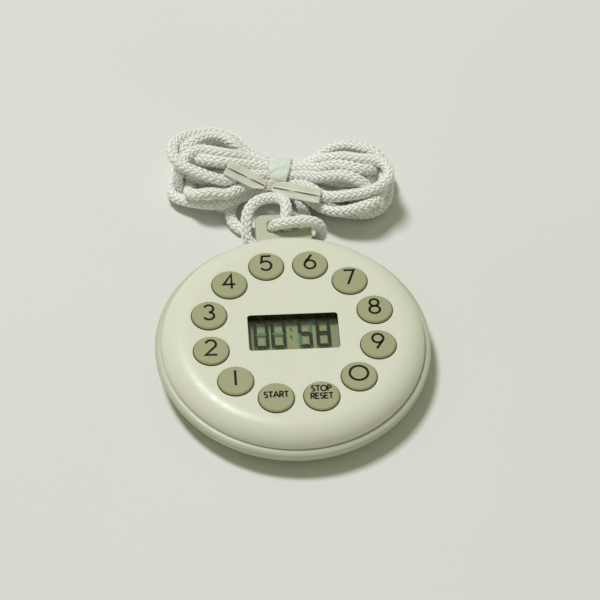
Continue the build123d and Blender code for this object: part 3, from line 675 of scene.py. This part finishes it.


# Painted shade: the window and key-hole walls under the face are coloured dark olive brown where shade falls in them.
with_painted_shade(cream, FACE, 0.02, below(cream, 0.01232, 0.0266), colour(36, 33, 20))
grey = moulded("grey_cream_plastic", BACK, 0.38, drift=0.05, bump=0.14, Specular_IOR_Level=0.45)
keys = moulded("key_plastic", KEY, 0.42, grain=6500.0, bump=0.12, drift=0.03, Specular_IOR_Level=0.4)
# Painted shade: the key sides below their tops are coloured a darker olive for the shade down in the key holes.
with_painted_shade(keys, KEY, 0.03, below(keys, 0.01268, 0.03), colour(112, 106, 72))
black = moulded("black_plastic", colour(34, 33, 30), 0.5, drift=0.15)
silicone = moulded("silicone_rubber", colour(176, 178, 170), 0.55, drift=0.05,
                   Subsurface_Weight=0.1, Subsurface_Scale=0.001)
rubber = moulded("seal_rubber", colour(40, 40, 42), 0.6, drift=0.2)
pill = moulded("carbon_pill", colour(28, 28, 29), 0.7, grain=9000.0, bump=0.3, drift=0.25)
epoxy = moulded("chip_epoxy", colour(22, 21, 20), 0.28, grain=900.0, bump=0.25, drift=0.2)
insulation = moulded("lead_insulation", colour(150, 40, 34), 0.4, drift=0.12)
ceramic = moulded("chip_ceramic", colour(168, 150, 118), 0.5, drift=0.08)


def metal(name, base, rough, scratch=(1, 1, 1), depth=0.10):
    """Metal with directional scratches and uneven tarnish."""
    look = Look(name, Metallic=1.0)
    look.set("Base Color", look.ramp(look.noise(180.0, 5.0, 0.65), (0.3, shade(base, 0.82)), (0.7, base)))
    look.set("Roughness", look.spread(look.noise(900.0, 4.0, 0.6, scratch), rough - 0.08, rough + 0.14))
    look.bump(look.noise(2400.0, 3.0, 0.6, scratch), depth, 0.00003)
    return look


cell_steel = metal("cell_steel", colour(205, 205, 202), 0.24, (1, 1, 8))
screw_steel = metal("screw_steel", colour(176, 176, 172), 0.32)
contact_metal = metal("contact_metal", colour(206, 202, 188), 0.30, (8, 1, 1))
brass = metal("sounder_brass", colour(206, 172, 92), 0.28)
silver = metal("sounder_silver", colour(214, 214, 210), 0.42)
gold = metal("gold_pad", colour(222, 184, 96), 0.26)
crystal = metal("crystal_metal", colour(196, 196, 192), 0.22, (1, 8, 1))
tie_steel = metal("tie_steel", colour(104, 101, 88), 0.5, (3, 3, 3), 0.2)

board = Look("circuit_board", Roughness=0.4, Specular_IOR_Level=0.5)
tracks = board.nodes.new("ShaderNodeTexBrick")
tracks.inputs["Scale"].default_value = 420.0
tracks.inputs["Mortar Size"].default_value = 0.05
tracks.inputs["Color1"].default_value = colour(34, 92, 52)
tracks.inputs["Color2"].default_value = colour(30, 84, 50)
tracks.inputs["Mortar"].default_value = colour(58, 122, 74)
board.links.new(board.coords.outputs["Object"], tracks.inputs["Vector"])
board.set("Base Color", tracks.outputs["Color"])
board.bump(board.noise(3000.0), 0.1, 0.00004)

zebra = Look("zebra_rubber", Roughness=0.6)
stripes = zebra.nodes.new("ShaderNodeTexWave")
stripes.inputs["Scale"].default_value = 900.0
stripes.bands_direction = "X"
zebra.links.new(zebra.coords.outputs["Object"], stripes.inputs["Vector"])
zebra.set("Base Color", zebra.ramp(stripes.outputs["Fac"],
                                   (0.45, colour(30, 30, 30)), (0.55, colour(214, 208, 190))))
zebra.bump(stripes.outputs["Fac"], 0.1, 0.00004)


def clear(name, tint, alpha, rough, low, high):
    """A thin clear sheet with smears in its gloss."""
    look = Look(name, Alpha=alpha, Specular_IOR_Level=0.5)
    look.set("Base Color", look.ramp(look.noise(160.0, 4.0, 0.6), (0.3, shade(tint, low)), (0.7, shade(tint, high))))
    look.set("Roughness", look.spread(look.noise(260.0, 4.0, 0.7), rough, rough + 0.12))
    look.bump(look.noise(700.0), 0.03, 0.00003)
    return look


lens = clear("clear_window", colour(200, 204, 190), 0.03, 0.06, 0.9, 1.0)
pane = clear("display_glass", colour(176, 190, 170), 0.008, 0.05, 0.9, 1.0)
film = clear("polariser_film", colour(148, 158, 112), 0.03, 0.22, 0.9, 1.0)

backing = Look("reflector_film", Roughness=0.45, Specular_IOR_Level=0.4)
speckle = backing.noise(2600.0, 4.0, 0.7)
backing.set("Base Color", backing.ramp(speckle, (0.25, colour(140, 156, 108)), (0.75, colour(160, 174, 126))))
backing.bump(speckle, 0.15, 0.00004)

# Braid: satin filaments along each strand, and painted shade, darker and yellower, down between the strands.
fibre = Look("braided_nylon", Specular_IOR_Level=0.6, Sheen_Weight=0.15, Sheen_Roughness=0.4,
             Subsurface_Weight=0.1, Subsurface_Scale=0.0006)
filament = fibre.noise(6.0, 2.0, 0.5, (3.0, 26.0, 1.0), "UV")
# Painted shade from the strand's rise: darker and yellower down between the strands and on the core, lightest on the
# rises.
crest_shade = fibre.nodes.new("ShaderNodeAttribute")
crest_shade.attribute_name = "crest_shade"
tone = fibre.ramp(crest_shade.outputs["Fac"], (0.0, colour(238, 239, 224)),
                  (0.45, colour(251, 251, 246)), (0.9, colour(255, 255, 253)))
patch = fibre.spread(fibre.noise(240.0, 3.0), 0.0, 0.5)
fibre.set("Base Color", fibre.mix(fibre.spread(filament, 0.0, 0.35), tone, fibre.mix(patch, colour(236, 237, 224), colour(222, 223, 202))))
fibre.set("Roughness", fibre.spread(filament, 0.20, 0.38))
fibre.bump(filament, 0.4, 0.00008)

strip = Look("tie_strip", Specular_IOR_Level=0.4, Subsurface_Weight=0.3, Subsurface_Scale=0.001)
crinkle = strip.noise(620.0, 4.0, 0.65)
strip.set("Base Color", strip.ramp(strip.noise(300.0, 4.0, 0.6),
                                   (0.3, colour(228, 227, 214)), (0.7, colour(242, 241, 232))))
strip.set("Roughness", strip.spread(crinkle, 0.42, 0.6))
strip.bump(crinkle, 0.25, 0.00008)

ink = Look("legend_ink", Specular_IOR_Level=0.2)
ink.set("Base Color", ink.ramp(ink.noise(1500.0), (0.3, colour(10, 10, 7)), (0.7, colour(20, 19, 14))))
ink.set("Roughness", ink.spread(ink.noise(2200.0), 0.35, 0.55))
ink.bump(ink.noise(3600.0), 0.1, 0.00003)

lit = Look("lit_segment", Roughness=0.5, Specular_IOR_Level=0.1)
lit.set("Base Color", lit.ramp(lit.noise(900.0), (0.3, colour(8, 9, 4)), (0.7, colour(14, 15, 8))))
ghost = Look("unlit_segment", Roughness=0.4, Alpha=0.5, Specular_IOR_Level=0.3)
ghost.set("Base Color", ghost.ramp(ghost.noise(700.0), (0.3, colour(72, 140, 96)), (0.7, colour(92, 160, 116))))

NODE_LOOKS = {
    "front_shell": cream, "rear_shell": grey, "battery_door": grey, "case_screws": screw_steel,
    "window_lens": lens, "lcd_front_polariser": film, "lcd_front_glass": pane, "lcd_rear_glass": pane,
    "lcd_reflector": backing, "lcd_frame": black, "zebra_strip": zebra, "main_board": board,
    "key_contact_pads": gold, "chip_blob": epoxy, "crystal_can": crystal, "chip_capacitors": ceramic,
    "keypad_mat": silicone, "door_seal": rubber, "button_cell": cell_steel, "contact_negative": contact_metal,
    "contact_positive": contact_metal, "sounder_disc": brass, "sounder_ceramic": silver,
    "sounder_leads": insulation, "lanyard_hank": fibre, "lanyard_lead_left": fibre,
    "lanyard_lead_right": fibre, "twist_tie": strip, "tie_wires": tie_steel,
}


def wear(obj, look):
    if not obj.material_slots:
        obj.data.materials.append(look.mat)
    for slot in obj.material_slots:
        slot.material = look.mat


for node_name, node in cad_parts.items():
    if node_name.startswith("key_") and node_name != "key_contact_pads":
        wear(node, keys)
    elif node_name.startswith("pill_"):
        wear(node, pill)
    else:
        wear(node, NODE_LOOKS[node_name])
wear(neck_cord, fibre)
wear(tie, strip)
wear(wires, tie_steel)

# ---- Key legends: thin strokes printed on the key tops ----


def arc(cx, cy, rx, ry, start, end, count=18):
    return [(cx + rx * math.cos(math.radians(a)), cy + ry * math.sin(math.radians(a)))
            for a in np.linspace(start, end, count)]


# Each glyph is drawn in a box one unit high, centred, as strokes.
GLYPHS = {
    "1": (0.0, [[(0, -0.5), (0, 0.5)]]),
    "2": (0.0, [arc(0, 0.22, 0.28, 0.28, 165, -35) + [(-0.3, -0.5), (0.32, -0.5)]]),
    "3": (0.0, [arc(0, 0.25, 0.25, 0.25, 160, -90), arc(0, -0.25, 0.28, 0.25, 90, -160)]),
    "4": (0.0, [[(0.13, -0.5), (0.13, 0.5), (-0.32, -0.2), (0.34, -0.2)]]),
    "5": (0.0, [[(0.28, 0.5), (-0.2, 0.5), (-0.26, 0.05)] + arc(-0.02, -0.18, 0.31, 0.32, 125, -150)]),
    "6": (0.0, [[(0.12, 0.5), (-0.2, 0.05)] + arc(0, -0.2, 0.3, 0.3, 150, 510, 36)]),
    "7": (0.0, [[(-0.28, 0.5), (0.28, 0.5), (-0.1, -0.5)]]),
    "8": (0.0, [arc(0, 0.25, 0.24, 0.24, -90, 270, 32), arc(0, -0.24, 0.29, 0.26, -90, 270, 32)]),
    "9": (0.0, [[(-0.1, -0.5), (0.21, -0.02)] + arc(0, 0.2, 0.3, 0.3, -35, 325, 36)]),
    "0": (0.0, [arc(0, 0, 0.52, 0.5, 0, 360, 48)]),
    "A": (0.86, [[(-0.4, -0.5), (0, 0.5), (0.4, -0.5)], [(-0.26, -0.14), (0.26, -0.14)]]),
    "E": (0.66, [[(0.26, 0.5), (-0.24, 0.5), (-0.24, -0.5), (0.26, -0.5)], [(-0.24, 0.02), (0.2, 0.02)]]),
    "M": (0.9, [[(-0.36, -0.5), (-0.36, 0.5), (0, -0.1), (0.36, 0.5), (0.36, -0.5)]]),
    "O": (1.02, [arc(0, 0, 0.44, 0.5, 0, 360, 32)]),
    "P": (0.68, [[(-0.24, -0.5), (-0.24, 0.5), (0.02, 0.5)] + arc(0.02, 0.24, 0.24, 0.26, 90, -90, 12) + [(-0.24, -0.02)]]),
    "R": (0.72, [[(-0.24, -0.5), (-0.24, 0.5), (0.02, 0.5)] + arc(0.02, 0.24, 0.24, 0.26, 90, -90, 12) + [(-0.24, -0.02)],
                 [(0.0, -0.02), (0.28, -0.5)]]),
    "S": (0.68, [arc(0.02, 0.25, 0.23, 0.24, 40, 240, 14) + arc(-0.02, -0.25, 0.25, 0.24, 80, -140, 14)]),
    "T": (0.72, [[(-0.32, 0.5), (0.32, 0.5)], [(0, 0.5), (0, -0.5)]]),
}


def stroke_mesh(path, half, low, high, verts, faces):
    """A flat bar that follows a path, with square ends and mitred corners."""
    p = np.array(path, float)
    closed = len(p) > 3 and np.linalg.norm(p[0] - p[-1]) < 1e-6
    step = np.diff(p, axis=0)
    step /= np.maximum(np.linalg.norm(step, axis=1, keepdims=True), 1e-9)
    before = np.vstack([step[-1:] if closed else step[:1], step])
    after = np.vstack([step, step[:1] if closed else step[-1:]])
    mid = before + after
    mid /= np.maximum(np.linalg.norm(mid, axis=1, keepdims=True), 1e-9)
    side = np.stack([-mid[:, 1], mid[:, 0]], 1)
    lean = np.clip((mid * before).sum(1), 0.45, 1)[:, None]
    left, right = p + side * half / lean, p - side * half / lean
    start = len(verts)
    for i in range(len(p)):
        for x, y, z in ((*left[i], high), (*right[i], high), (*right[i], low), (*left[i], low)):
            verts.append((x, y, z))
    faces += tube_faces(len(p), 4, start)
    if not closed:
        last = start + 4 * (len(p) - 1)
        faces.append((start, start + 3, start + 2, start + 1))
        faces.append((last, last + 1, last + 2, last + 3))


def legend(name, body, cx, cy, lines, height, half, top, turn=0.0):
    """One or more lines of strokes, centred on a key."""
    verts, faces = [], []
    pitch = height * 1.4
    for row, text in enumerate(lines):
        y = cy + (len(lines) - 1) * pitch / 2 - row * pitch
        widths = [GLYPHS[c][0] * height for c in text]
        x = cx - sum(widths) / 2
        for c, width in zip(text, widths):
            for path in GLYPHS[c][1]:
                placed = [(x + width / 2 + px * height, y + py * height) for px, py in path]
                stroke_mesh(placed, half, top, top + 0.03, verts, faces)
            x += width
    obj = piece(name, verts, faces, body, smooth=False)
    wear(obj, ink)
    return obj


for number in range(12):
    key_name = ["key_start", "key_stop_reset", "key_0", "key_9", "key_8", "key_7",
                "key_6", "key_5", "key_4", "key_3", "key_2", "key_1"][number]
    low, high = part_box(key_name)
    cx, cy, top = (low.x + high.x) / 2 / MM, (low.y + high.y) / 2 / MM, high.z / MM
    tag = key_name[4:]
    if tag == "start":
        legend("legend_start", key_name, cx, cy + 0.7, ["START"], 1.7, 0.2, top)
    elif tag == "stop_reset":
        legend("legend_stop_reset", key_name, cx, cy + 0.95, ["STOP", "RESET"], 1.66, 0.19, top)
    else:
        legend("legend_" + tag, key_name, cx - 0.05, cy + 0.75, [tag], 4.6 if tag != "0" else 4.4, 0.31, top)

# ---- Display: seven-segment digits between the two panes ----
DIGITS = [(-10.0, -6.19, "abcdef"), (-5.62, -1.8, "abcdef"), (1.29, 4.83, "acdfg"), (5.84, 9.48, "abcdefg")]
DIGIT_LOW, DIGIT_HIGH = -2.95, 5.95
_, glass_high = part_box("lcd_rear_glass")
SEGMENT_Z = glass_high.z / MM
SEGMENT_HALF = 0.42


def segment(kind, x0, x1, y0, y1):
    """A seven-segment bar with mitred ends, as an outline."""
    h, gap = SEGMENT_HALF * 2, 0.13
    ym = (y0 + y1) / 2
    rows = {"a": y1, "g": ym, "d": y0}
    if kind == "g":
        return [(x0 + gap + 0.1, ym), (x0 + h, ym + h / 2), (x1 - h, ym + h / 2),
                (x1 - gap - 0.1, ym), (x1 - h, ym - h / 2), (x0 + h, ym - h / 2)]
    if kind in rows:
        y, s = rows[kind], -1 if kind == "a" else 1
        return [(x0 + gap, y), (x1 - gap, y), (x1 - h - gap, y + s * h), (x0 + h + gap, y + s * h)]
    x, s = (x0, 1) if kind in "fe" else (x1, -1)
    if kind in "fb":
        return [(x, y1 - gap), (x, ym + gap / 2), (x + s * h * 0.5, ym + gap / 2),
                (x + s * h, ym + h / 2 + gap), (x + s * h, y1 - h - gap)]
    return [(x, y0 + gap), (x + s * h, y0 + h + gap), (x + s * h, ym - h / 2 - gap),
            (x + s * h * 0.5, ym - gap / 2), (x, ym - gap / 2)]


def plates(name, outlines, look, z=SEGMENT_Z):
    """Thin flat shapes at the joint between the panes."""
    verts, faces = [], []
    for outline in outlines:
        area = sum(a[0] * b[1] - b[0] * a[1] for a, b in zip(outline, outline[1:] + outline[:1]))
        outline = outline if area > 0 else outline[::-1]
        n, start = len(outline), len(verts)
        for height in (z - 0.006, z + 0.006):
            verts += [(x, y, height) for x, y in outline]
        faces.append(tuple(range(start + n, start + 2 * n)))
        faces.append(tuple(range(start, start + n))[::-1])
        faces += [(start + k, start + (k + 1) % n, start + n + (k + 1) % n, start + n + k) for k in range(n)]
    obj = piece(name, verts, faces, smooth=False)
    wear(obj, look)
    return obj


dark, faint = [], []
for x0, x1, on in DIGITS:
    for kind in "abcdefg":
        (dark if kind in on else faint).append(segment(kind, x0, x1, DIGIT_LOW, DIGIT_HIGH))
for y in (0.5, 3.0):
    dark.append(arc(-0.5, y, 0.27, 0.27, 0, 345, 16))
plates("display_lit_segments", dark, lit)
plates("display_unlit_segments", faint, ghost)
mark_v, mark_f = [], []
for path in GLYPHS["M"][1]:
    stroke_mesh([(-0.35 + px * 1.35, 5.35 + py * 1.35) for px, py in path], 0.16, SEGMENT_Z - 0.006, SEGMENT_Z + 0.006, mark_v, mark_f)
mark = piece("display_mark", mark_v, mark_f, smooth=False)
wear(mark, lit)

# ---- Floor and light ----
FLOOR = 0.9


def add_floor():
    n = 24
    verts = [((i / n - 0.5) * 2000 * FLOOR, (j / n - 0.5) * 2000 * FLOOR, 0.0)
             for j in range(n + 1) for i in range(n + 1)]
    faces = [(j * (n + 1) + i, j * (n + 1) + i + 1, (j + 1) * (n + 1) + i + 1, (j + 1) * (n + 1) + i)
             for j in range(n) for i in range(n)]
    floor = piece("floor", verts, faces, None)
    look = Look("floor_paper", Roughness=0.75, Specular_IOR_Level=0.25)
    look.set("Base Color", look.ramp(look.noise(7.0, 3.0), (0.3, colour(228, 229, 226)), (0.7, colour(232, 232, 230))))
    look.bump(look.noise(1800.0), 0.05, 0.0001)
    wear(floor, look)


def area_light(name, direction, distance, size, power, tint=(1, 1, 1), size_y=None):
    data = bpy.data.lights.new(name, "AREA")
    data.shape = "RECTANGLE"
    data.size = size
    data.size_y = size_y or size
    data.energy = power
    data.color = tint
    light = bpy.data.objects.new(name, data)
    aim = Vector(direction).normalized()
    light.location = Vector((0, 0.01, 0.006)) + aim * distance
    light.rotation_euler = aim.to_track_quat("Z", "Y").to_euler()
    bpy.context.scene.collection.objects.link(light)


add_floor()
area_light("key_light", (-0.27, 0.28, 0.92), 2.2, 0.40, 32.0, (0.98, 0.98, 1.0), 0.60)
area_light("fill_light", (0.75, -0.5, 0.7), 1.4, 0.9, 0.3, (1.0, 0.99, 0.9))
world = bpy.data.worlds.new("studio")
world.use_nodes = True
sky = next(n for n in world.node_tree.nodes if n.type == "BACKGROUND")
sky.inputs["Color"].default_value = (0.98, 1.0, 0.68, 1.0)
sky.inputs["Strength"].default_value = 0.275
bpy.context.scene.world = world
bpy.context.scene.view_settings.view_transform = "Standard"
# Light goes through five clear layers of the display and back.
bpy.context.scene.cycles.transparent_max_bounces = 32
